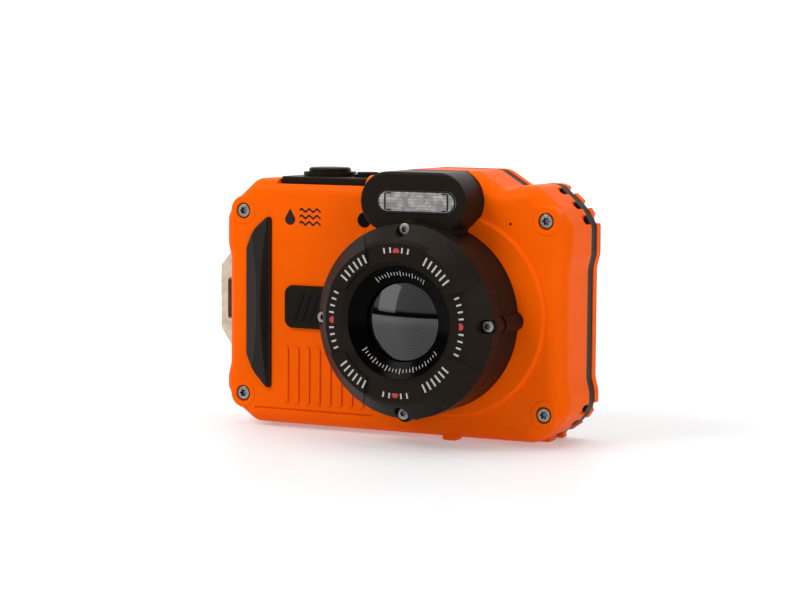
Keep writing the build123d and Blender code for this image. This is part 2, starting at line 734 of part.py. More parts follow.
def flash_reflector():
    """The bright trough behind the tube."""
    outer = [(-23.7, -4.1), (-20.6, -2.1), (-20.0, 0), (-20.6, 2.1), (-23.7, 4.1)]
    inner = [(-23.7, 3.5), (-21.1, 1.7), (-20.5, 0), (-21.1, -1.7), (-23.7, -3.5)]
    points = [(y, FLASH_WINDOW_Z + z) for y, z in outer + inner]
    trough = make_face(Plane.YZ * Polyline(points, close=True))
    length = 2 * REFLECTOR_HALF
    return Pos(FLASH_WINDOW_X - REFLECTOR_HALF, 0, 0) * extrude(trough, length, dir=(1, 0, 0))


def flash_capacitor():
    """The flash capacitor, lying along X."""
    can = Pos(-20.0, -4.9, 54.0) * Rot(0, 90, 0) * Cylinder(4.0, 22)
    return fillet(can.edges(), 0.6)


# Front trim


def grip_pad():
    """The rubber grip: a long D with a crest near its straight edge."""
    edge = [(-48, GRIP_BACK_Y), (-48, -12.9), (-42.5, GRIP_CREST_Y), (-41.2, GRIP_CREST_Y)]
    edge += [(-39.7, -13.3), (-38.5, -13.3), (-38.5, GRIP_BACK_Y)]
    section = make_face(Polyline(edge, close=True))
    ridge = Pos(0, 0, GRIP_Z0 - 1) * extrude(section, GRIP_Z1 - GRIP_Z0 + 2)
    middle_z = (GRIP_Z0 + GRIP_Z1) / 2
    dome = Pos(-43, GRIP_CREST_Y + GRIP_DOME_R, middle_z) * Rot(0, 90, 0) * Cylinder(GRIP_DOME_R, 30)
    return ridge & slab(grip_outline(), -16, GRIP_BACK_Y) & dome


def plaque_outline(gap=0.0):
    """The plain plaque beside the lens, with rounded corners."""
    width = PLAQUE_X1 - PLAQUE_X0 + 2 * gap
    height = PLAQUE_Z1 - PLAQUE_Z0 + 2 * gap
    centre = Pos((PLAQUE_X0 + PLAQUE_X1) / 2, (PLAQUE_Z0 + PLAQUE_Z1) / 2)
    return centre * RectangleRounded(width, height, 2.5)


def emblem_plate():
    """A thin blank plaque let into the front, trimmed where the lens flange stands."""
    plate = slab(plaque_outline(), -16, 0) & bow(PLAQUE_LIFT) - bow(-PLAQUE_SINK)
    plate -= rod_y(LENS_X, LENS_Z, FLANGE_R + 2 * FIT, -16, 0)
    return plate - rod_y(*polar(EAR_RING_R, 180), COWL_EAR_R + 2 * FIT, -16, 0)


def af_lamp_window():
    """The dark window of the focus lamp."""
    return rod_y(LAMP_X, LAMP_Z, LAMP_R, LAMP_FRONT_Y, LAMP_FRONT_Y + 1.7)


def focus_lamp():
    """The lamp behind its window."""
    return rod_y(LAMP_X, LAMP_Z, 1.5, LAMP_FRONT_Y + 1.8, LAMP_FRONT_Y + 4.1)


def microphone():
    """The microphone behind its pinhole."""
    return rod_y(MIC_X, MIC_Z, 1.8, -10.6, -9.3)


# Top controls


def collar(x, outer_r, inner_r, top_z):
    """A raised ring around a top button."""
    return rod_z(x, 0, outer_r, PLATE_Z1 - 0.5, top_z) - rod_z(x, 0, inner_r, 70, 80)


def top_plate():
    """The black plate that guides the shutter and power buttons."""
    plate = block(PLATE_X0, PLATE_X1, PLATE_Y0, PLATE_Y1, PLATE_Z0, PLATE_Z1)
    plate = fillet(plate.edges().filter_by(Axis.Z), 2.0)
    plate = fillet(plate.faces().sort_by(Axis.Z)[-1].edges(), 0.5)
    plate = plate + collar(SHUTTER_X, SHUTTER_COLLAR_R, SHUTTER_R, 75.9)
    plate = plate + collar(POWER_X, POWER_COLLAR_R, POWER_R, 75.4)
    plate -= rod_z(SHUTTER_X, 0, SHUTTER_R + KEY_GAP, BUTTON_WELL_Z, 80)
    plate -= rod_z(POWER_X, 0, POWER_R + KEY_GAP, BUTTON_WELL_Z, 80)
    plate -= rod_z(SHUTTER_X, 0, STEM_R + STEM_FIT, 70, 80)
    plate -= rod_z(POWER_X, 0, POWER_STEM_R + STEM_FIT, 70, 80)
    return plate


def shutter_button():
    """The shutter button with its dished cap and its stem."""
    cap = rod_z(SHUTTER_X, 0, SHUTTER_R, 74.7, SHUTTER_Z1)
    cap = fillet(cap.edges().sort_by(Axis.Z)[-1], 0.8)
    cap -= Pos(SHUTTER_X, 0, SHUTTER_Z1 - 0.3 + 30) * Sphere(30)
    return cap + rod_z(SHUTTER_X, 0, STEM_R, 67.6, 75)


def power_button():
    """The power button with its stem."""
    cap = rod_z(POWER_X, 0, POWER_R, 74.2, POWER_Z1)
    cap = fillet(cap.edges().sort_by(Axis.Z)[-1], 0.4)
    return cap + rod_z(POWER_X, 0, POWER_STEM_R, 67, 74.5)


def stem_seals():
    """The seal rings around the two button stems, under the shell's roof."""
    rings = []
    for x, radius in ((SHUTTER_X, STEM_R), (POWER_X, POWER_STEM_R)):
        ring = rod_z(x, 0, radius + 1.4, 69.4, CAVITY_Z1) - rod_z(x, 0, radius + 0.02, 69, 72)
        rings.append(ring)
    return rings


def switch_board():
    """The small board with the two dome switches of the top buttons."""
    domes = [rod_z(x, 0, 2.2, 65, 66.3) for x in (SHUTTER_X, POWER_X)]
    return fused([block(*SWITCH_BOARD)] + domes)


# Rear controls and screen


def rocker_outline(gap=0.0):
    """The stadium outline of the zoom rocker."""
    slot = SlotOverall(ROCKER_W + 2 * gap, ROCKER_H + 2 * gap)
    return Pos(ROCKER_X, ROCKER_Z) * slot


def zoom_rocker():
    """The zoom rocker, dished in the middle."""
    rocker = slab(rocker_outline(), 12.0, 14.3)
    rocker = fillet(rocker.faces().sort_by(Axis.Y)[-1].edges(), 0.4)
    return rocker - Pos(ROCKER_X, 14.0 + 25, ROCKER_Z) * Cylinder(25, 20)


def rear_key(x, z):
    """A round key."""
    key = rod_y(x, z, KEY_R, 11.75, 13.7)
    return fillet(key.edges().sort_by(Axis.Y)[-1], 0.4)


def nav_pivot():
    """The cross ring under the direction pad, on which it tilts both ways."""
    return ring_y(NAV_X, NAV_Z, 6.4, 4.6, 11.45, 11.85)


def nav_pad():
    """The ring-shaped direction pad."""
    ring = ring_y(NAV_X, NAV_Z, NAV_R, OK_R + 0.3, 12.2, 13.9)
    rear_edges = ring.faces().sort_by(Axis.Y)[-1].edges()
    return fillet(rear_edges, 0.4)


def ok_button():
    """The centre button."""
    key = rod_y(NAV_X, NAV_Z, OK_R, 12.4, 14.1)
    key = fillet(key.edges().sort_by(Axis.Y)[-1], 0.4)
    return key + rod_y(NAV_X, NAV_Z, 2.0, 11.8, 12.6)


def button_membrane():
    """The rubber membrane that seals the rear controls."""
    sheet = block(-50, -10, MEMBRANE_Y0, MEMBRANE_Y1, 15, 69)
    return sheet & slab(offset(cavity_outline(), -FIT), MEMBRANE_Y0, MEMBRANE_Y1)


def key_board():
    """The board with one dome switch under each rear control."""
    places = list(KEYS.values()) + [(NAV_X, NAV_Z)]
    places += [(NAV_X + side * NAV_DOME_R, NAV_Z) for side in (-1, 1)]
    places += [(NAV_X, NAV_Z + side * NAV_DOME_R) for side in (-1, 1)]
    return fused([block(*KEY_BOARD)] + [rod_y(x, z, 1.8, 9.4, 9.9) for x, z in places])


def screen_window():
    """The clear window over the screen."""
    gap = FIT / 2
    x0, x1 = SCREEN_X0 + gap, SCREEN_X1 - gap
    z0, z1 = SCREEN_Z0 + gap, SCREEN_Z1 - gap
    return rounded_box(x0, x1, SCREEN_SEAT_Y, SCREEN_FACE_Y, z0, z1, 2.4)


def screen_panel():
    """The display module with its glass."""
    return block(*DISPLAY) + block(*DISPLAY_GLASS)


# Boards and supply inside the case


def main_board():
    """The main circuit board with its larger chips."""
    chips = [(0, 8, 44, 52), (30, 38, 20, 28), (2, 9, 20, 26), (32, 39, 40, 46)]
    raised = [block(x0, x1, 5.5, 6.9, z0, z1) for x0, x1, z0, z1 in chips]
    return fused([block(*MAIN_BOARD)] + raised)


def battery():
    """The battery pack, with its long side across the body."""
    pack = block(*BATTERY)
    return fillet(pack.edges().filter_by(Axis.X), 1.2)


def battery_tray():
    """The open-ended tray around the battery."""
    return block(*TRAY_OUTER) - block(*TRAY_INNER)


def card_socket():
    """The memory card socket."""
    return block(*CARD_HOUSING) - block(*CARD_SLOT)


def memory_card():
    """The memory card in its socket."""
    return block(*CARD)


def usb_port():
    """The data port."""
    return rounded_box(*PORT_OUTER, 0.3) - block(*PORT_INNER)


def speaker():
    """The speaker over its slots in the underside."""
    return rod_z(SPEAKER_X, SPEAKER_Y, 3.0, CAVITY_Z0 + 0.2, 6.4)


def tripod_socket():
    """The brass socket under the lens."""
    insert = rod_z(LENS_X, SOCKET_Y, SOCKET_R, BASE_Z, SOCKET_TOP_Z)
    return insert - rod_z(LENS_X, SOCKET_Y, SOCKET_BORE_R, 0, BASE_Z + SOCKET_DEPTH)


def strap_lug():
    """The metal strap lug: a flat loop let into the side wall."""
    outer = [(LUG_X1, LUG_Z0), (-56, LUG_Z0), (LUG_X0, LUG_Z0 + 5.8), (LUG_X0, LUG_Z1 - 3.9)]
    outer += [(-56.9, LUG_Z1), (LUG_X1, LUG_Z1)]
    loop = make_face(Polyline(outer, close=True))
    loop = fillet(loop.vertices().filter_by(lambda v: v.X < -54), 1.5)
    slot = Pos(STRAP_SLOT_X, STRAP_SLOT_Z) * Rot(0, 0, 90) * SlotOverall(STRAP_SLOT_L, STRAP_SLOT_W)
    return slab(loop - slot, LUG_Y0, LUG_Y1)


# Side door


def door_plug(grow=0.0):
    """The Y-Z size of the door's plug, from the door inwards."""
    y0, y1 = PLUG_Y0 - grow, PLUG_Y1 + grow
    z0, z1 = PLUG_Z0 - grow, PLUG_Z1 + grow
    return y0, y1, z0, z1


def battery_door():
    """The hinged side door with its sealing plug and knuckles."""
    door = block(DOOR_X0, DOOR_X1, DOOR_Y0, DOOR_Y1, DOOR_Z0, DOOR_Z1)
    door = door + block(DOOR_X1 - 0.1, PLUG_X, *door_plug())
    for z0, z1 in KNUCKLE_SPANS:
        knuckle = rod_z(HINGE_X, HINGE_Y, KNUCKLE_R, z0, z1)
        door = door + knuckle + block(DOOR_X0, HINGE_X, DOOR_Y1 - 0.2, HINGE_Y, z0, z1)
        door -= rod_z(HINGE_X, HINGE_Y, HINGE_PIN_R + STEM_FIT, z0 - 1, z1 + 1)
    door -= block(-56, LATCH_X1 + 0.05, LATCH_Y0 - FIT, LATCH_Y1 + FIT, DOOR_Z0 - 1, LATCH_Z1 + 3)
    return door


def door_gasket():
    """The rubber ring around the door's plug."""
    return block(-52.6, -52, *door_plug(DOOR_SEAL_W)) - block(-53, -51, *door_plug())


def hinge_pin():
    """The steel pin of the side door."""
    return rod_z(HINGE_X, HINGE_Y, HINGE_PIN_R, DOOR_Z0 - 1, DOOR_Z1 + 1)


def door_latch():
    """The sliding latch of the side door, with grip ridges."""
    bar = block(LATCH_X0, LATCH_X1, LATCH_Y0, LATCH_Y1, DOOR_Z0 + FIT, LATCH_Z1)
    y0, y1 = LATCH_Y0 + 0.2, LATCH_Y1 - 0.2
    ridges = [block(LATCH_X0 - 0.6, LATCH_X0 + 0.1, y0, y1, z, z + 0.8) for z in LATCH_RIDGES]
    return fused([bar] + ridges)


PARTS = {
    "front_shell": front_shell,
    "rear_shell": rear_shell,
    "body_gasket": body_gasket,
    "front_cowl": front_cowl,
    "bezel_seal": bezel_seal,
    "lens_bezel": lens_bezel,
    "mask_ring": mask_ring,
    "lens_window": lens_window,
    "window_seal": window_seal,
    "outer_barrel": outer_barrel,
    "inner_barrel": inner_barrel,
    "front_element": front_element,
    "rear_element": rear_element,
    "lens_base": lens_base,
    "image_sensor": image_sensor,
    "zoom_motor": zoom_motor,
    "flash_window": flash_window,
    "flash_tube": flash_tube,
    "flash_reflector": flash_reflector,
    "flash_capacitor": flash_capacitor,
    "grip_pad": grip_pad,
    "emblem_plate": emblem_plate,
    "af_lamp_window": af_lamp_window,
    "focus_lamp": focus_lamp,
    "microphone": microphone,
    "top_plate": top_plate,
    "shutter_button": shutter_button,
    "power_button": power_button,
    "switch_board": switch_board,
    "zoom_rocker": zoom_rocker,
    "nav_pivot": nav_pivot,
    "nav_pad": nav_pad,
    "ok_button": ok_button,
    "button_membrane": button_membrane,
    "key_board": key_board,
    "screen_window": screen_window,
    "screen_panel": screen_panel,
    "main_board": main_board,
    "battery": battery,
    "battery_tray": battery_tray,
    "card_socket": card_socket,
    "memory_card": memory_card,
    "usb_port": usb_port,
    "speaker": speaker,
    "tripod_socket": tripod_socket,
    "strap_lug": strap_lug,
    "battery_door": battery_door,
    "door_gasket": door_gasket,
    "hinge_pin": hinge_pin,
    "door_latch": door_latch,
}

GROUPS = {
    "case_screws": [case_screw(x, z) for x, z in screw_places()],
    "bezel_screws": [bezel_screw(x, z) for x, z in ring_screw_places()],
    "stem_seals": stem_seals(),
}


ORIGIN_SHIFT = Pos(-LENS_X, -SOCKET_Y, -BASE_Z)

os.makedirs("parts", exist_ok=True)
for name, build in PARTS.items():
    export_step(ORIGIN_SHIFT * build(), f"parts/{name}.step")
for name, (x, z) in KEYS.items():
    export_step(ORIGIN_SHIFT * rear_key(x, z), f"parts/{name}.step")
for name, members in GROUPS.items():
    placed = [ORIGIN_SHIFT * member for member in members]
    export_step(Compound(children=placed), f"parts/{name}.step")
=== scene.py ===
"""The looks of the waterproof action camera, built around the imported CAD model."""
import json
import math

import bmesh
import bpy
from mathutils import Matrix, Vector

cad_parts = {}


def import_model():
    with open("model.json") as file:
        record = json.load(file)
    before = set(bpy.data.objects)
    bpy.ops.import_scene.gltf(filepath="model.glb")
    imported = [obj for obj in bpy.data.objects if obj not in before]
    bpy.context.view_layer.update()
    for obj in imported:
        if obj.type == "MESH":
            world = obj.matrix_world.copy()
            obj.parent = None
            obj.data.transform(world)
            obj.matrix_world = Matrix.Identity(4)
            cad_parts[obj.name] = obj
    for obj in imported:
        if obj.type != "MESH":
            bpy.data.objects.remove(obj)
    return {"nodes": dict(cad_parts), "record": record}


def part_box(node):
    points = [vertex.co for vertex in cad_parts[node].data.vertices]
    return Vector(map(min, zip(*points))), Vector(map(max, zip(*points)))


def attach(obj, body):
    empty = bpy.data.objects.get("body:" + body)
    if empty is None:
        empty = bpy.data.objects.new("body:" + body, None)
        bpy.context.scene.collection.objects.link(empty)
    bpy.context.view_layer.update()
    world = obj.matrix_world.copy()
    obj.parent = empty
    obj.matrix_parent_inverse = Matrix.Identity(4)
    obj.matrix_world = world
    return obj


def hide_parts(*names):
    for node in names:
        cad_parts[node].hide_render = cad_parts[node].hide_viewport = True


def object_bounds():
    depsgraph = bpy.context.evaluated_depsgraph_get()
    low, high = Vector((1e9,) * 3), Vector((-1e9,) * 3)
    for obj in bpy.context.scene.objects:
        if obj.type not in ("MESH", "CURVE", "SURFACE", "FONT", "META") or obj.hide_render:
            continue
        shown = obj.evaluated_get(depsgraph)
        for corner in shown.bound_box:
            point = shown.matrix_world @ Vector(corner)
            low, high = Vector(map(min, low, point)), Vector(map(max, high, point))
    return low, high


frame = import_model()
cad_low, cad_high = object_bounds()

MM = 0.001

# The view: the camera's turn, height and roll in degrees, its distance and its lens
VIEW_AZIMUTH = 27.28
VIEW_ELEVATION = 5.39
VIEW_ROLL = 0.41
VIEW_DISTANCE = 734 * MM
VIEW_TARGET = Vector((-15.8, 0.0, 35.2)) * MM
VIEW_LENS = 112.5
VIEW_SENSOR = 36
VIEW_START = 50 * MM
VIEW_SHIFT = (-0.00466, 0.01129)

# The lens axis, and the direction in which the lens looks
window_low, window_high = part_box("lens_window")
LENS_AXIS = (window_low + window_high) / 2
FORWARD = Vector((0, -1, 0))


# Materials

# Sizes of the surface patterns
DRIFT_SIZE = 14 * MM
RUB_SIZE = 6 * MM
WEAR_SIZE = 1.5 * MM
MOULDED_EDGE = 0.15 * MM
BRUSH_SIZE = 0.4 * MM
BRUSH_DEPTH = 0.01 * MM
TARNISH_SIZE = 2.5 * MM
METAL_EDGE = 0.1 * MM
# How far the painted shade in metal recesses looks for surfaces nearby
RECESS_SHADE_REACH = 1.2 * MM
COVER_SMEAR_SIZE = 5 * MM
LENS_SMEAR_SIZE = 3 * MM
FLASH_RIB_PITCH = 0.9 * MM
FLASH_RIB_DEPTH = 0.05 * MM
FLASH_MOTTLE_SIZE = 2.2 * MM
BARREL_RING_PITCH = 0.8 * MM
BARREL_RING_OFFSET = Vector((2.2, 0, 1.0)) * MM
TRACK_PITCH_ACROSS = 1.2 * MM
TRACK_PITCH_ALONG = 1.6 * MM
TRACK_DEPTH = 0.02 * MM
PAD_PITCH = 2.2 * MM
FLOOR_TONE_SIZE = 120 * MM
FLOOR_GLOSS_SIZE = 30 * MM

# The wave texture turns through this many radians per unit of its scaled length
WAVE_TURN = 20

# The places of the mix node's sockets for two colours, after those for numbers and vectors
MIX_SHARE = 0
MIX_FIRST = 6
MIX_SECOND = 7
MIX_RESULT = 2


def wave_scale(pitch):
    """The wave texture's scale for ridges with a given pitch."""
    return math.tau / pitch / WAVE_TURN


class Look:
    """One procedural material, wired from a few shared steps."""

    def __init__(self, name, **values):
        self.material = bpy.data.materials.new(name)
        self.material.use_nodes = True
        self.tree = self.material.node_tree
        self.shader = self.tree.nodes["Principled BSDF"]
        self.fill(self.shader, values)
        self.place = self.add("ShaderNodeTexCoord").outputs["Object"]

    def fill(self, node, values):
        """Sets a node's inputs to values or to other nodes' outputs."""
        for key, value in values.items():
            socket = node.inputs[key.replace("_", " ")]
            if isinstance(value, bpy.types.NodeSocket):
                self.tree.links.new(value, socket)
            else:
                socket.default_value = value

    def add(self, kind, settings=None, **values):
        """A new node with its settings and its inputs' values."""
        node = self.tree.nodes.new(kind)
        for key, value in (settings or {}).items():
            setattr(node, key, value)
        self.fill(node, values)
        return node

    def noise(self, size, detail=2.0, stretch=(1, 1, 1)):
        """Noise whose blobs are about size metres across."""
        moved = self.add("ShaderNodeMapping", Vector=self.place, Scale=stretch)
        node = self.add("ShaderNodeTexNoise", Vector=moved.outputs[0], Scale=1 / size, Detail=detail)
        return node.outputs[0]

    def waves(self, pitch, direction="X", softness=0.0):
        """Parallel ridges with a given pitch."""
        node = self.add(
            "ShaderNodeTexWave",
            {"bands_direction": direction},
            Vector=self.place,
            Scale=wave_scale(pitch),
            Distortion=softness,
        )
        return node.outputs["Fac"]

    def span(self, value, low, high, out_low=0.0, out_high=1.0):
        """Maps value from low..high to out_low..out_high, clamped."""
        node = self.add("ShaderNodeMapRange")
        self.tree.links.new(value, node.inputs[0])
        for index, number in enumerate((low, high, out_low, out_high), start=1):
            node.inputs[index].default_value = number
        return node.outputs[0]

    def combine(self, operation, first, second):
        """The result of an operation on two numbers or outputs."""
        node = self.add("ShaderNodeMath", {"operation": operation})
        for socket, value in zip(node.inputs, (first, second)):
            if isinstance(value, bpy.types.NodeSocket):
                self.tree.links.new(value, socket)
            else:
                socket.default_value = value
        return node.outputs[0]

    def mix(self, share, first, second):
        """A colour between first and second."""
        node = self.add("ShaderNodeMix", {"data_type": "RGBA"})
        for index, value in ((MIX_SHARE, share), (MIX_FIRST, first), (MIX_SECOND, second)):
            if isinstance(value, bpy.types.NodeSocket):
                self.tree.links.new(value, node.inputs[index])
            else:
                node.inputs[index].default_value = value
        return node.outputs[MIX_RESULT]

    def edges(self, radius):
        """The rounded normal near edges, and a mask that is 1 on them."""
        rounded = self.add("ShaderNodeBevel", {"samples": 4}, Radius=radius).outputs[0]
        flat = self.add("ShaderNodeNewGeometry").outputs["Normal"]
        dot = self.add("ShaderNodeVectorMath", {"operation": "DOT_PRODUCT"})
        self.tree.links.new(rounded, dot.inputs[0])
        self.tree.links.new(flat, dot.inputs[1])
        return rounded, self.span(dot.outputs["Value"], 0.999, 0.93)

    def bump(self, height, depth, normal=None):
        """A bumped normal; depth is in metres."""
        values = {"Height": height, "Distance": depth}
        if normal is not None:
            values["Normal"] = normal
        return self.add("ShaderNodeBump", **values).outputs[0]


def rgba(red, green, blue):
    return (red, green, blue, 1.0)


def moulded(name, colour, roughness, grain=0.35 * MM, depth=0.012 * MM, worn=0.3, **more):
    """Moulded plastic: fine grain, slow colour drift, faint rubbing and slightly paler edges."""
    look = Look(name, **more)
    drift = look.span(look.noise(DRIFT_SIZE), 0.35, 0.65)
    fine = look.noise(grain, 3.0)
    rubs = look.span(look.noise(RUB_SIZE, 4.0, (1, 1, 4)), 0.52, 0.75)
    normal, edge_mask = look.edges(MOULDED_EDGE)
    deep = rgba(*[channel * 0.95 for channel in colour])
    body = look.mix(drift, deep, rgba(*colour))
    pale = rgba(*[min(1.0, channel * 1.25 + 0.012) for channel in colour])
    share = look.combine("MULTIPLY", edge_mask, look.span(look.noise(WEAR_SIZE), 0.4, 0.7, 0.0, worn))
    look.fill(look.shader, {"Base_Color": look.mix(share, body, pale)})
    grainy = look.span(fine, 0.3, 0.7, roughness - 0.04, roughness + 0.04)
    rubbed = look.combine("MULTIPLY", rubs, -0.06)
    look.fill(look.shader, {"Roughness": look.combine("ADD", grainy, rubbed)})
    look.fill(look.shader, {"Normal": look.bump(fine, depth, normal)})
    return look.material


def metal(name, colour, roughness, brush=(1, 1, 1)):
    """Metal with fine machining marks, a little tarnish and painted shade that darkens its recesses."""
    look = Look(name, Metallic=1.0)
    marks = look.noise(BRUSH_SIZE, 3.0, brush)
    tarnish = look.span(look.noise(TARNISH_SIZE, 4.0), 0.45, 0.75)
    normal, edge_mask = look.edges(METAL_EDGE)
    dull = rgba(*[channel * 0.72 for channel in colour])
    body = look.mix(tarnish, rgba(*colour), dull)
    bright = rgba(*[min(1.0, channel * 1.15) for channel in colour])
    # Painted shade: the colour goes dark in recesses, where ambient occlusion finds little open air.
    open_air = look.add("ShaderNodeAmbientOcclusion", {"samples": 4}, Distance=RECESS_SHADE_REACH).outputs["AO"]
    shaded_recess_colour = rgba(*[channel * 0.06 for channel in colour])
    unshaded_colour = look.mix(edge_mask, body, bright)
    look.fill(look.shader, {"Base_Color": look.mix(look.span(open_air, 0.45, 0.9), shaded_recess_colour, unshaded_colour)})
    look.fill(look.shader, {"Roughness": look.span(marks, 0.3, 0.7, roughness * 0.8, roughness * 1.3)})
    look.fill(look.shader, {"Normal": look.bump(marks, BRUSH_DEPTH, normal)})
    return look.material


def clear(name):
    """A bloomed clear cover: light goes straight through, and it mirrors only at a slant."""
    look = Look(name, Metallic=1.0, Base_Color=rgba(1, 1, 1))
    smears = look.span(look.noise(COVER_SMEAR_SIZE, 4.0, (1, 1, 2.5)), 0.5, 0.8)
    mirror = look.add("ShaderNodeFresnel", IOR=1.5).outputs[0]
    inside = look.add("ShaderNodeNewGeometry").outputs["Backfacing"]
    share = look.combine("MULTIPLY", look.span(mirror, 0.06, 1.0), look.combine("SUBTRACT", 1.0, inside))
    look.fill(look.shader, {"Alpha": share})
    look.fill(look.shader, {"Roughness": look.span(smears, 0, 1, 0.05, 0.12)})
    return look.material


def flash_cover():
    """The flash window: milky and mottled, with fine horizontal ribs whose grey is painted lighter and
    darker rib by rib, as painted light and shade on the ribs.
    """
    look = Look("flash_glass", Specular_IOR_Level=0.5)
    ribs = look.waves(FLASH_RIB_PITCH, "Z")
    mottle = look.span(look.noise(FLASH_MOTTLE_SIZE, 4.0), 0.42, 0.62)
    # Painted light and shade: the grey alternates lighter and darker in step with the ribs.
    grey = look.mix(ribs, rgba(0.31, 0.3, 0.285), rgba(0.47, 0.465, 0.45))
    look.fill(look.shader, {"Base_Color": look.mix(mottle, rgba(0.2, 0.195, 0.19), grey)})
    look.fill(look.shader, {"Roughness": look.span(mottle, 0, 1, 0.22, 0.12)})
    look.fill(look.shader, {"Normal": look.bump(ribs, FLASH_RIB_DEPTH)})
    return look.material


def coated_glass():
    """Coated lens glass over a black barrel: a dark mirror with the barrel's faint rings, its tint painted
    darker in the lower half as painted shade that dims the floor's reflection.
    """
    look = Look("lens_glass", Metallic=1.0)
    smears = look.span(look.noise(LENS_SMEAR_SIZE, 4.0), 0.5, 0.8)
    rings_centre = LENS_AXIS + BARREL_RING_OFFSET
    moved = look.add("ShaderNodeMapping", Vector=look.place, Location=-rings_centre)
    rings = look.add(
        "ShaderNodeTexWave",
        {"wave_type": "RINGS", "rings_direction": "Y"},
        Vector=moved.outputs[0],
        Scale=wave_scale(BARREL_RING_PITCH),
    ).outputs["Fac"]
    spot = look.add("ShaderNodeSeparateXYZ", Vector=look.place)
    shown = look.combine("MULTIPLY", rings, look.span(spot.outputs["X"], -1 * MM, 5 * MM, 0.0, 0.4))
    # Painted shade: the mirror tint is darker in the lower half, so the bright floor below reflects less
    # there.
    upper = look.span(spot.outputs["Z"], LENS_AXIS.z - 1 * MM, LENS_AXIS.z + 4 * MM)
    reflection_tint_shaded_below = look.mix(upper, rgba(0.064, 0.064, 0.066), rgba(0.13, 0.13, 0.133))
    colour = look.mix(shown, reflection_tint_shaded_below, rgba(0.012, 0.012, 0.013))
    look.fill(look.shader, {"Base_Color": colour})
    look.fill(look.shader, {"Roughness": look.span(smears, 0, 1, 0.04, 0.08)})
    return look.material


def circuit():
    """Solder mask with faint tracks and tinned pads."""
    look = Look("circuit_board", Specular_IOR_Level=0.5)
    across = look.span(look.waves(TRACK_PITCH_ACROSS, "X", 2.0), 0.42, 0.5)
    along = look.span(look.waves(TRACK_PITCH_ALONG, "Z", 3.0), 0.44, 0.52)
    tracks = look.combine("MULTIPLY", across, along)
    cells = look.add("ShaderNodeTexVoronoi", Vector=look.place, Scale=1 / PAD_PITCH).outputs["Distance"]
    pads = look.span(cells, 0.16, 0.12)
    mask = look.mix(tracks, rgba(0.01, 0.07, 0.035), rgba(0.02, 0.16, 0.07))
    look.fill(look.shader, {"Base_Color": look.mix(pads, mask, rgba(0.7, 0.66, 0.5))})
    look.fill(look.shader, {"Roughness": look.span(pads, 0, 1, 0.42, 0.28)})
    look.fill(look.shader, {"Normal": look.bump(tracks, TRACK_DEPTH)})
    return look.material


ORANGE = (0.93, 0.115, 0.0)
BLACK = (0.0115, 0.0085, 0.006)

LOOKS = {
    "orange_shell": moulded("orange_shell", ORANGE, 0.38, depth=0.006 * MM, Specular_IOR_Level=0.03),
    "black_plastic": moulded("black_plastic", BLACK, 0.36, worn=0.5, Specular_IOR_Level=0.07,
                              Specular_Tint=rgba(1, 0.86, 0.72)),
    "black_gloss": moulded("black_gloss", (0.001, 0.001, 0.001), 0.1, depth=0.001 * MM,
                           Specular_IOR_Level=0.1),
    "black_rubber": moulded("black_rubber", (0.0105, 0.008, 0.006), 0.5, grain=0.5 * MM, depth=0.03 * MM,
                            Specular_IOR_Level=0.2),
    "clear_glass": clear("clear_glass"),
    "mask_black": moulded("mask_black", (0.0008, 0.0005, 0.0004), 0.22, depth=0.001 * MM,
                          Specular_IOR_Level=0.03),
    "flash_glass": flash_cover(),
    "lens_glass": coated_glass(),
    "smoked_window": moulded("smoked_window", (0.003, 0.0008, 0.002), 0.16, depth=0.001 * MM,
                             Specular_IOR_Level=0.05),
    "screw_steel": metal("screw_steel", (0.33, 0.32, 0.31), 0.34),
    "pin_steel": metal("pin_steel", (0.5, 0.5, 0.51), 0.3, brush=(1, 1, 0.1)),
    "lug_metal": metal("lug_metal", (0.72, 0.60, 0.47), 0.36, brush=(1, 1, 0.15)),
    "brass": metal("brass", (0.78, 0.56, 0.25), 0.28, brush=(1, 1, 6)),
    "circuit_board": circuit(),
    "battery_wrap": moulded("battery_wrap", (0.05, 0.055, 0.075), 0.4),
    "bright_reflector": metal("bright_reflector", (0.92, 0.92, 0.92), 0.12),
    "grey_key": moulded("grey_key", (0.03, 0.029, 0.028), 0.42, worn=0.5, Specular_IOR_Level=0.3),
    "red_key": moulded("red_key", (0.42, 0.012, 0.012), 0.35),
    "white_print": moulded("white_print", (0.46, 0.44, 0.4), 0.5, grain=0.2 * MM),
    "grey_print": moulded("grey_print", (0.25, 0.24, 0.23), 0.5, grain=0.2 * MM),
    "red_print": moulded("red_print", (0.42, 0.025, 0.03), 0.45, grain=0.2 * MM),
    "black_print": moulded("black_print", (0.012, 0.009, 0.008), 0.5, grain=0.2 * MM,
                           Specular_IOR_Level=0.2),
}

# Nodes whose look differs from their slot's usual one
OWN_LOOKS = {"flash_window": "flash_glass", "mask_ring": "mask_black"}


def dress_cad():
    """Gives every CAD node the finish of its slot."""
    for node in frame["record"]["subparts"]:
        piece = frame["nodes"][node["node"]]
        for holder in piece.material_slots:
            holder.link = "OBJECT"
            holder.material = LOOKS[OWN_LOOKS.get(node["node"], node["material_slot"])]


# Printed marks

# How thick the paint is drawn
PRINT = 0.1 * MM

# Each level of a printed mark: its height as a share of the thickness, and its scale there
BAR_LEVELS = ((-0.5, 1.0), (0.25, 1.0), (0.5, 0.8))
DOT_LEVELS = ((-0.5, 1.0), (0.2, 1.0), (0.5, 0.82))


def mesh_piece(name, build, look, body="root", smooth=False):
    """A mesh made by build(bm), riding on a body."""
    bm = bmesh.new()
    build(bm)
    bmesh.ops.recalc_face_normals(bm, faces=bm.faces)
    data = bpy.data.meshes.new(name)
    bm.to_mesh(data)
    bm.free()
    piece = bpy.data.objects.new(name, data)
    bpy.context.scene.collection.objects.link(piece)
    data.materials.append(LOOKS[look])
    for face in data.polygons:
        face.use_smooth = smooth
    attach(piece, body)
    return piece


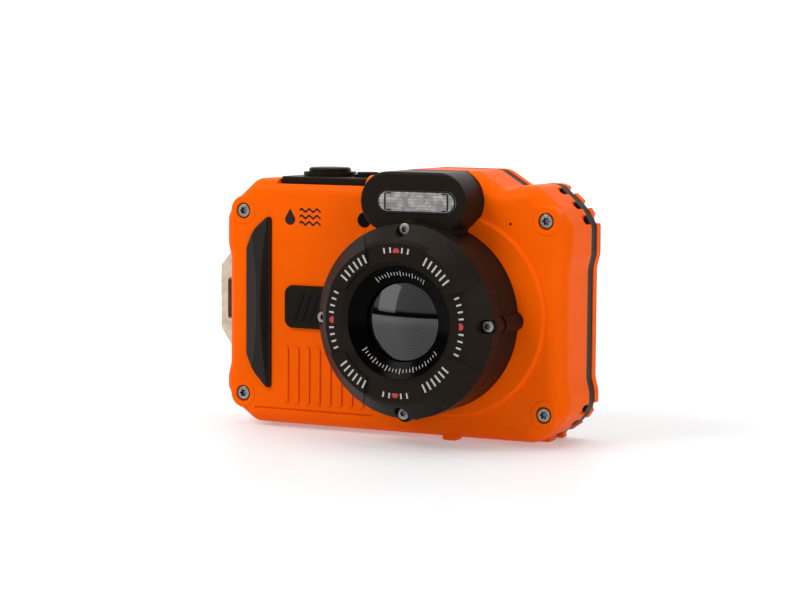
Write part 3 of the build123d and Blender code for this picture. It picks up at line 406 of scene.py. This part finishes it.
def join_rings(bm, low, high):
    """Faces between two rings of vertices."""
    for i in range(len(low)):
        j = (i + 1) % len(low)
        bm.faces.new((low[i], low[j], high[j], high[i]))


def add_stack(bm, rings):
    """A closed body from rings of points that lie one above the other."""
    rows = [[bm.verts.new(point) for point in ring] for ring in rings]
    bm.faces.new(rows[0])
    bm.faces.new(rows[-1])
    for low, high in zip(rows, rows[1:]):
        join_rings(bm, low, high)


def add_bar(bm, centre, along, across, length, width, thickness):
    """A bar with its long side along one direction, its top edges cut back."""
    out = along.cross(across).normalized()
    rings = []
    for level, scale in BAR_LEVELS:
        half_width = width / 2 * scale
        half_length = length / 2 - (1 - scale) * width / 2
        middle = centre + out * level * thickness
        corners = ((-1, -1), (1, -1), (1, 1), (-1, 1))
        rings.append([middle + along * u * half_length + across * v * half_width for u, v in corners])
    add_stack(bm, rings)


def add_dot(bm, centre, out, side, radius, thickness, steps=20):
    """A low round button of paint with a soft rim."""
    up = out.cross(side).normalized()
    turns = [math.tau * i / steps for i in range(steps)]
    rings = []
    for level, scale in DOT_LEVELS:
        middle = centre + out * level * thickness
        reach = radius * scale
        rings.append([middle + (side * math.cos(turn) + up * math.sin(turn)) * reach for turn in turns])
    add_stack(bm, rings)


def polygon(x, y, radius, count, turn=0.0):
    """The corners of a regular polygon in a plane."""
    angles = [math.radians(turn) + math.tau * i / count for i in range(count)]
    return [(x + radius * math.cos(a), y + radius * math.sin(a)) for a in angles]


def band(outer, inner):
    """The four-cornered pieces between two outlines with equal numbers of points."""
    pieces = []
    for i in range(len(outer)):
        j = (i + 1) % len(outer)
        pieces.append([outer[i], outer[j], inner[j], inner[i]])
    return pieces


# The bezel's scale

BEZEL_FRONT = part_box("lens_bezel")[0].y
GROOVE_FLOOR = BEZEL_FRONT + 0.83 * MM
TICK_RADIUS = 19.95 * MM
TICK_LENGTH = 2.5 * MM
TICK_WIDTH = 0.52 * MM
DOT_RADIUS = 1.05 * MM

# Angles of the ticks from the middle of their group, in degrees
BESIDE_DOT = (-10.5, -5.2, 5.2, 10.5)
AT_SIDES = (-22.5, -17, -11.5, -6, 6, 11.5, 17, 22.5)
PAD_TICKS = 6
PAD_TICK_STEP = 4.9
PAD_MIDDLES = (49.5, 130.5, 229.5, 310.5)


def on_lens(radius, angle, y):
    """A point around the lens axis and the outward direction there; angle 90 is up."""
    turn = math.radians(angle)
    spoke = Vector((math.cos(turn), 0, math.sin(turn)))
    return Vector((LENS_AXIS.x, y, LENS_AXIS.z)) + spoke * radius, spoke


def dial_places():
    """The angle of each tick, with the depth of the surface that it is printed on."""
    places = []
    for middle in (90, 270):
        places += [(middle + step, GROOVE_FLOOR) for step in BESIDE_DOT]
    for middle in (0, 180):
        places += [(middle + step, GROOVE_FLOOR) for step in AT_SIDES]
    for middle in PAD_MIDDLES:
        first = middle - PAD_TICK_STEP * (PAD_TICKS - 1) / 2
        places += [(first + PAD_TICK_STEP * i, BEZEL_FRONT) for i in range(PAD_TICKS)]
    return places


def dial_ticks(bm):
    for angle, y in dial_places():
        centre, spoke = on_lens(TICK_RADIUS, angle, y)
        add_bar(bm, centre, spoke, FORWARD.cross(spoke), TICK_LENGTH, TICK_WIDTH, PRINT)


def dial_dots(bm):
    for angle in (0, 90, 180, 270):
        centre, spoke = on_lens(TICK_RADIUS, angle, GROOVE_FLOOR)
        add_dot(bm, centre, FORWARD, spoke, DOT_RADIUS, PRINT)


# The scale on the mask ring's sloping face

MASK_INNER_R = 11.3 * MM
MASK_LIP = 0.5 * MM
SCALE_RADIUS = 13.7 * MM
SCALE_LONG = 1.7 * MM
SCALE_SHORT = 1.0 * MM
SCALE_WIDTH = 0.24 * MM
SCALE_PRINT = 0.08 * MM
SCALE_LONG_EVERY = 4

# The first and last angle of each arc, and its number of steps
SCALE_ARCS = ((58, 122, 16), (216, 324, 24))


def mask_scale(bm):
    """A fine scale on the mask ring, in two arcs."""
    low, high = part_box("mask_ring")
    outer_r = (high.x - low.x) / 2
    inner_y = high.y - MASK_LIP
    slope = (inner_y - low.y) / (outer_r - MASK_INNER_R)
    y = inner_y - (SCALE_RADIUS - MASK_INNER_R) * slope
    for start, stop, count in SCALE_ARCS:
        for i in range(count + 1):
            centre, spoke = on_lens(SCALE_RADIUS, start + (stop - start) * i / count, y)
            along = (spoke + FORWARD * slope).normalized()
            length = SCALE_SHORT if i % SCALE_LONG_EVERY else SCALE_LONG
            add_bar(bm, centre, along, FORWARD.cross(spoke), length, SCALE_WIDTH, SCALE_PRINT)


# The cover glass

DOME_BEND = 32 * MM
DOME_RIM_DEPTH = 0.7 * MM
DOME_THICKNESS = 0.8 * MM


def dome_profile(radius, rim_y, rows=18):
    """The (radius, y) points of a spherical face, from its rim to the axis."""
    centre_y = rim_y + math.sqrt(DOME_BEND ** 2 - radius ** 2)
    points = []
    for i in range(rows + 1):
        r = radius * (rows - i) / rows
        points.append((r, centre_y - math.sqrt(DOME_BEND ** 2 - r ** 2)))
    return points


def lens_disc(bm, profile, thickness, steps=96):
    """A disc of even thickness, from the (radius, y) points of its front, the axis last."""
    rims = []
    for shift in (0.0, thickness):
        rings = []
        for r, y in profile[:-1]:
            rings.append([bm.verts.new(on_lens(r, 360 * i / steps, y + shift)[0]) for i in range(steps)])
        for low, high in zip(rings, rings[1:]):
            join_rings(bm, low, high)
        tip = bm.verts.new(on_lens(0, 0, profile[-1][1] + shift)[0])
        last = rings[-1]
        for i in range(steps):
            bm.faces.new((last[i], last[(i + 1) % steps], tip))
        rims.append(rings[0])
    join_rings(bm, *rims)


def cover_dome(bm):
    """The cover glass, slightly domed and polished smooth."""
    radius = (window_high.x - window_low.x) / 2
    lens_disc(bm, dome_profile(radius, window_low.y + DOME_RIM_DEPTH), DOME_THICKNESS)


# Front print: a drop and three waves, the usual sign for a waterproof thing

PLAQUE_LIFT = 0.8 * MM
FACE_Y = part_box("emblem_plate")[0].y + PLAQUE_LIFT
FACE_BEND = 2500 * MM
LENS_OFFSET = 14.85 * MM
FACE_MIDDLE_X = LENS_AXIS.x - LENS_OFFSET
SIGN_X = -47.5 * MM
SIGN_Z = 61.2 * MM
DROP_R = 1.75 * MM
DROP_STRETCH = 0.75
DROP_NARROWING = 0.62
DROP_SHOULDER = 0.2
WAVES = 3
WAVE_X = 3.2 * MM
WAVE_LENGTH = 10.4 * MM
WAVE_LOWEST = -1.1 * MM
WAVE_PITCH = 1.9 * MM
WAVE_SWING = 0.42 * MM
WAVE_HALF_WIDTH = 0.34 * MM
WAVE_CYCLES = 4
WAVE_STEPS = 32

# The waves lie at the depth that the bowed face has this far beside the drop
WAVE_DEPTH_X = 8 * MM


def flat_shape(bm, outline, y, sink=PRINT, lift=PRINT / 2):
    """A thin printed shape on a face that looks forwards, from (x, z) points."""
    front = [(x, y - lift, z) for x, z in outline]
    back = [(x, y + sink, z) for x, z in outline]
    add_stack(bm, [front, back])


def face_y(x):
    """The depth of the front face, which is bowed by a hair."""
    return FACE_Y + (x - FACE_MIDDLE_X) ** 2 / (2 * FACE_BEND)


def drop_outline(steps=24):
    """A circle that is drawn up into a tip."""
    points = []
    for i in range(steps):
        angle = math.tau * i / steps
        height = math.sin(angle)
        tip_share = max(0.0, (height - DROP_SHOULDER) / (1 - DROP_SHOULDER))
        x = DROP_R * math.cos(angle) * (1 - DROP_NARROWING * tip_share)
        z = DROP_R * height * (1 + DROP_STRETCH * max(0.0, height))
        points.append((SIGN_X + x, SIGN_Z + z))
    return points


def wave_outline(z):
    """One wavy line at a height."""
    upper, lower = [], []
    for i in range(WAVE_STEPS + 1):
        share = i / WAVE_STEPS
        x = SIGN_X + WAVE_X + WAVE_LENGTH * share
        middle = z + WAVE_SWING * math.sin(math.tau * WAVE_CYCLES * share)
        upper.append((x, middle + WAVE_HALF_WIDTH))
        lower.append((x, middle - WAVE_HALF_WIDTH))
    return lower + upper[::-1]


def water_sign(bm):
    flat_shape(bm, drop_outline(), face_y(SIGN_X))
    waves_y = face_y(SIGN_X + WAVE_DEPTH_X)
    for row in range(WAVES):
        flat_shape(bm, wave_outline(SIGN_Z + WAVE_LOWEST + WAVE_PITCH * row), waves_y)


# The plaque's relief

PLAQUE_MARGIN = 2.2 * MM
PLAQUE_BARS = 5
PLAQUE_BAR_PITCH = 2.6 * MM
PLAQUE_BAR_WIDTH = 1.1 * MM
PLAQUE_BAR_SLANT = 3.0 * MM
PLAQUE_BAR_LIFT = 0.12 * MM


def plaque_bars(bm):
    """Slanted bars in low relief on the plaque."""
    low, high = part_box("emblem_plate")
    z0, z1 = low.z + PLAQUE_MARGIN, high.z - PLAQUE_MARGIN
    for i in range(PLAQUE_BARS):
        left = low.x + PLAQUE_BAR_PITCH * (i + 1)
        right = left + PLAQUE_BAR_WIDTH
        top_left, top_right = left + PLAQUE_BAR_SLANT, right + PLAQUE_BAR_SLANT
        outline = [(left, z0), (right, z0), (top_right, z1), (top_left, z1)]
        flat_shape(bm, outline, low.y, lift=PLAQUE_BAR_LIFT)


# The flash window's rim and brackets

FLASH_RIM = 0.55 * MM
FLASH_RIM_LIFT = 0.04 * MM
BRACKET_X = 9.6 * MM
BRACKET_INSET = 0.9 * MM
BRACKET_HOOK = 1.7 * MM
BRACKET_WIDTH = 0.5 * MM
HOOK_HALF_WIDTH = 0.18 * MM


def stadium(centre, half_w, half_h, inset, steps=16):
    """The (x, z) outline of a slot with round ends, moved inwards."""
    radius = half_h - inset
    points = []
    for side in (1, -1):
        for i in range(steps + 1):
            angle = math.pi * (i / steps - 0.5)
            x = side * (half_w - half_h + radius * math.cos(angle))
            points.append((centre.x + x, centre.z + side * radius * math.sin(angle)))
    return points


def flash_rim(bm):
    """The dark rim inside the flash window's edge, with two brackets."""
    low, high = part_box("flash_window")
    centre, half = (low + high) / 2, (high - low) / 2
    outer = stadium(centre, half.x, half.z, 0.0)
    inner = stadium(centre, half.x, half.z, FLASH_RIM)
    for piece in band(outer, inner):
        flat_shape(bm, piece, low.y, sink=PRINT / 2, lift=FLASH_RIM_LIFT)
    bottom, top = low.z + BRACKET_INSET, high.z - BRACKET_INSET
    for side in (-1, 1):
        x = centre.x + side * BRACKET_X
        end, back = x - side * BRACKET_HOOK, x + side * BRACKET_WIDTH
        flat_shape(bm, [(x, bottom), (back, bottom), (back, top), (x, top)], low.y)
        for z in (top, bottom):
            z0, z1 = z - HOOK_HALF_WIDTH, z + HOOK_HALF_WIDTH
            flat_shape(bm, [(end, z0), (x, z0), (x, z1), (end, z1)], low.y)


# Rear marks

REAR_LIFT = 0.05 * MM
TRIANGLE_R = 1.2 * MM
MENU_BAR = (2.4 * MM, 0.38 * MM)
MENU_PITCH = 0.85 * MM
CROSS_BAR = (2.2 * MM, 0.4 * MM)
CROSS_ARM = (0.4 * MM, 1.0 * MM)
CROSS_ARM_OFFSET = 0.9 * MM
RECORD_R = 0.9 * MM
ARROW_REACH = 6.7 * MM
ARROW_R = 0.8 * MM
OK_R = 0.7 * MM

# The number of corners that stand for a circle
ROUND = 24


def rear_shape(bm, outline, y, lift=REAR_LIFT):
    """A thin printed shape on a face that looks backwards."""
    flat_shape(bm, outline, y, sink=lift, lift=PRINT)


def bar_outline(x, z, width, height):
    """A rectangle about a point."""
    w, h = width / 2, height / 2
    return [(x - w, z - h), (x + w, z - h), (x + w, z + h), (x - w, z + h)]


def play_sign(x, z):
    return [polygon(x, z, TRIANGLE_R, 3, 180)]


def menu_sign(x, z):
    return [bar_outline(x, z + MENU_PITCH * step, *MENU_BAR) for step in (-1, 0, 1)]


def cross_sign(x, z):
    arms = [bar_outline(x, z + CROSS_ARM_OFFSET * side, *CROSS_ARM) for side in (1, -1)]
    return [bar_outline(x, z, *CROSS_BAR)] + arms


def record_sign(x, z):
    return [polygon(x, z, RECORD_R, ROUND)]


def arrow_signs(x, z):
    """Four arrowheads that point away from the middle of the pad."""
    middles = polygon(x, z, ARROW_REACH, 4)
    return [polygon(mx, mz, ARROW_R, 3, 90 * i) for i, (mx, mz) in enumerate(middles)]


def ok_sign(x, z):
    return [polygon(x, z, OK_R, ROUND)]


# Plain signs on the keys; each maker takes the middle of the key's rear face
KEY_SIGNS = {
    "play_button": play_sign,
    "menu_button": menu_sign,
    "delete_button": cross_sign,
    "record_button": record_sign,
    "nav_pad": arrow_signs,
    "ok_button": ok_sign,
}


def key_mark(node, sign):
    """The printed sign on the rear face of a key."""
    low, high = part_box(node)
    outlines = sign((low.x + high.x) / 2, (low.z + high.z) / 2)

    def build(bm):
        for outline in outlines:
            rear_shape(bm, outline, high.y)

    mesh_piece(node + "_mark", build, "grey_print", node)


# The screen's border and the ring on the power button

SCREEN_EDGE = 0.6 * MM
SCREEN_BORDER = 3.4 * MM
SCREEN_BORDER_LIFT = 0.02 * MM
POWER_RING_OUTER = 1.3 * MM
POWER_RING_INNER = 1.0 * MM
POWER_RING_LIFT = 0.04 * MM


def inset_outline(low, high, inset):
    """The (x, z) corners of a box, moved inwards."""
    x0, x1 = low.x + inset, high.x - inset
    z0, z1 = low.z + inset, high.z - inset
    return [(x0, z0), (x1, z0), (x1, z1), (x0, z1)]


def screen_border(bm):
    """The matt border printed inside the screen window's edge."""
    low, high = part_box("screen_window")
    outer = inset_outline(low, high, SCREEN_EDGE)
    inner = inset_outline(low, high, SCREEN_EDGE + SCREEN_BORDER)
    for piece in band(outer, inner):
        rear_shape(bm, piece, high.y, SCREEN_BORDER_LIFT)


def power_mark(bm):
    """A small ring on the power button."""
    low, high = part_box("power_button")
    centre = (low + high) / 2
    outer = polygon(centre.x, centre.y, POWER_RING_OUTER, ROUND)
    inner = polygon(centre.x, centre.y, POWER_RING_INNER, ROUND)
    for piece in band(outer, inner):
        upper = [(x, y, high.z + POWER_RING_LIFT) for x, y in piece]
        under = [(x, y, high.z - PRINT) for x, y in piece]
        add_stack(bm, [upper, under])


# The studio, in metres

FLOOR_HALF_WIDTH = 3.0
FLOOR_FRONT = -2.5
FLOOR_BACK = 1.6
SWEEP_RADIUS = 1.2
SWEEP_STEPS = 12
WALL_TOP = 3.5
LIGHT_TARGET = Vector((-0.015, 0, 0.035))
WORLD_STRENGTH = 0.4

# The surroundings' brightness, from straight below (0) over the horizon (0.5) to straight above (1)
SURROUNDINGS = ((0.0, 0.9), (0.49, 0.9), (0.495, 0.04), (0.53, 0.04), (0.55, 0.85), (1.0, 1.0))


def soft_light(name, location, size, power):
    """A white area light that is turned to the object."""
    data = bpy.data.lights.new(name, "AREA")
    data.shape = "RECTANGLE"
    data.size, data.size_y = size
    data.energy = power
    lamp = bpy.data.objects.new(name, data)
    lamp.location = location
    lamp.rotation_euler = (LIGHT_TARGET - Vector(location)).to_track_quat("-Z", "Y").to_euler()
    bpy.context.scene.collection.objects.link(lamp)


def floor_look():
    """A satin white sweep with painted light: it glows, dimmer near the object and brighter away from it.
    """
    look = Look("white_sweep", Specular_IOR_Level=0.3)
    tone = look.span(look.noise(FLOOR_TONE_SIZE), 0.3, 0.7, 0.58, 0.6)
    colour = look.add("ShaderNodeCombineColor", Red=tone, Green=tone, Blue=tone).outputs[0]
    distance = look.add("ShaderNodeVectorMath", {"operation": "LENGTH"}, Vector=look.place)
    # Painted light: the floor's glow is weaker near the object and stronger farther away.
    near = look.span(distance.outputs["Value"], 0.08, 0.35, 0.29, 0.48)
    far = look.span(distance.outputs["Value"], 0.6, 2.0, 0.0, 0.3)
    rough = look.span(look.noise(FLOOR_GLOSS_SIZE), 0.3, 0.7, 0.45, 0.52)
    look.fill(look.shader, {"Base_Color": colour, "Roughness": rough})
    look.fill(look.shader, {"Emission_Color": rgba(1, 1, 1)})
    look.fill(look.shader, {"Emission_Strength": look.combine("ADD", near, far)})
    return look.material


def floor():
    """A floor that sweeps up behind the camera, seen square on from the viewing angle."""
    profile = [(FLOOR_FRONT, 0.0), (FLOOR_BACK, 0.0)]
    for i in range(1, SWEEP_STEPS + 1):
        angle = math.pi / 2 * i / SWEEP_STEPS
        y = FLOOR_BACK + SWEEP_RADIUS * math.sin(angle)
        profile.append((y, SWEEP_RADIUS * (1 - math.cos(angle))))
    profile.append((FLOOR_BACK + SWEEP_RADIUS, WALL_TOP))
    bm = bmesh.new()
    rows = [[bm.verts.new((x, y, z)) for x in (-FLOOR_HALF_WIDTH, FLOOR_HALF_WIDTH)] for y, z in profile]
    for low, high in zip(rows, rows[1:]):
        bm.faces.new((low[0], low[1], high[1], high[0]))
    data = bpy.data.meshes.new("floor")
    bm.to_mesh(data)
    bm.free()
    data.materials.append(floor_look())
    for face in data.polygons:
        face.use_smooth = True
    piece = bpy.data.objects.new("floor", data)
    bpy.context.scene.collection.objects.link(piece)
    turn = Matrix.Rotation(math.radians(VIEW_AZIMUTH), 4, "Z")
    piece.matrix_world = Matrix.Translation((0, 0, cad_low.z)) @ turn


def world():
    """White surroundings with a dim band at the horizon, like a room behind the lights."""
    studio = bpy.data.worlds.new("studio")
    studio.use_nodes = True
    tree = studio.node_tree
    direction = tree.nodes.new("ShaderNodeTexCoord").outputs["Generated"]
    parts = tree.nodes.new("ShaderNodeSeparateXYZ")
    tree.links.new(direction, parts.inputs[0])
    height = tree.nodes.new("ShaderNodeMapRange")
    tree.links.new(parts.outputs["Z"], height.inputs[0])
    height.inputs["From Min"].default_value = -1.0
    ramp = tree.nodes.new("ShaderNodeValToRGB")
    tree.links.new(height.outputs[0], ramp.inputs[0])
    stops = ramp.color_ramp.elements
    while len(stops) < len(SURROUNDINGS):
        stops.new(0.5)
    for stop, (position, level) in zip(stops, SURROUNDINGS):
        stop.position = position
        stop.color = rgba(level, level, level)
    background = tree.nodes["Background"]
    tree.links.new(ramp.outputs[0], background.inputs["Color"])
    background.inputs["Strength"].default_value = WORLD_STRENGTH
    bpy.context.scene.world = studio


def camera():
    """The camera, looking at the object from the viewing angle."""
    data = bpy.data.cameras.new("camera")
    data.lens = VIEW_LENS
    data.sensor_width = VIEW_SENSOR
    data.shift_x, data.shift_y = VIEW_SHIFT
    data.clip_start = VIEW_START
    azimuth, elevation, roll = [math.radians(angle) for angle in (VIEW_AZIMUTH, VIEW_ELEVATION, VIEW_ROLL)]
    right = Vector((math.cos(azimuth), math.sin(azimuth), 0))
    level = Vector((math.sin(azimuth), -math.cos(azimuth), 0))
    back = level * math.cos(elevation) + Vector((0, 0, math.sin(elevation)))
    up = back.cross(right)
    across = right * math.cos(roll) + up * math.sin(roll)
    above = up * math.cos(roll) - right * math.sin(roll)
    piece = bpy.data.objects.new("camera", data)
    piece.matrix_world = Matrix((across, above, back)).transposed().to_4x4()
    piece.location = VIEW_TARGET + back * VIEW_DISTANCE
    bpy.context.scene.collection.objects.link(piece)
    bpy.context.scene.camera = piece


def lights():
    """Each light's place, size in metres and power in watts."""
    soft_light("key", (-0.55, -0.75, 0.95), (0.6, 0.5), 8.0)
    soft_light("fill", (0.9, -0.5, 0.35), (0.5, 0.7), 2.85)
    soft_light("top", (0.0, 0.1, 0.9), (0.9, 0.6), 4.2)
    soft_light("window", (-0.66, -0.72, 0.30), (0.38, 0.44), 0.37)


dress_cad()
mesh_piece("dial_ticks", dial_ticks, "white_print")
mesh_piece("dial_dots", dial_dots, "red_print")
mesh_piece("mask_scale", mask_scale, "white_print")
mesh_piece("water_sign", water_sign, "black_print")
mesh_piece("plaque_bars", plaque_bars, "black_gloss")
mesh_piece("flash_rim", flash_rim, "black_print")
dome = mesh_piece("cover_dome", cover_dome, "lens_glass", smooth=True)
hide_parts("lens_window")
mesh_piece("screen_border", screen_border, "black_print")
mesh_piece("power_mark", power_mark, "grey_print", "power_button")
for key, sign in KEY_SIGNS.items():
    key_mark(key, sign)
floor()
world()
camera()
lights()
bpy.context.scene.view_settings.view_transform = "Standard"
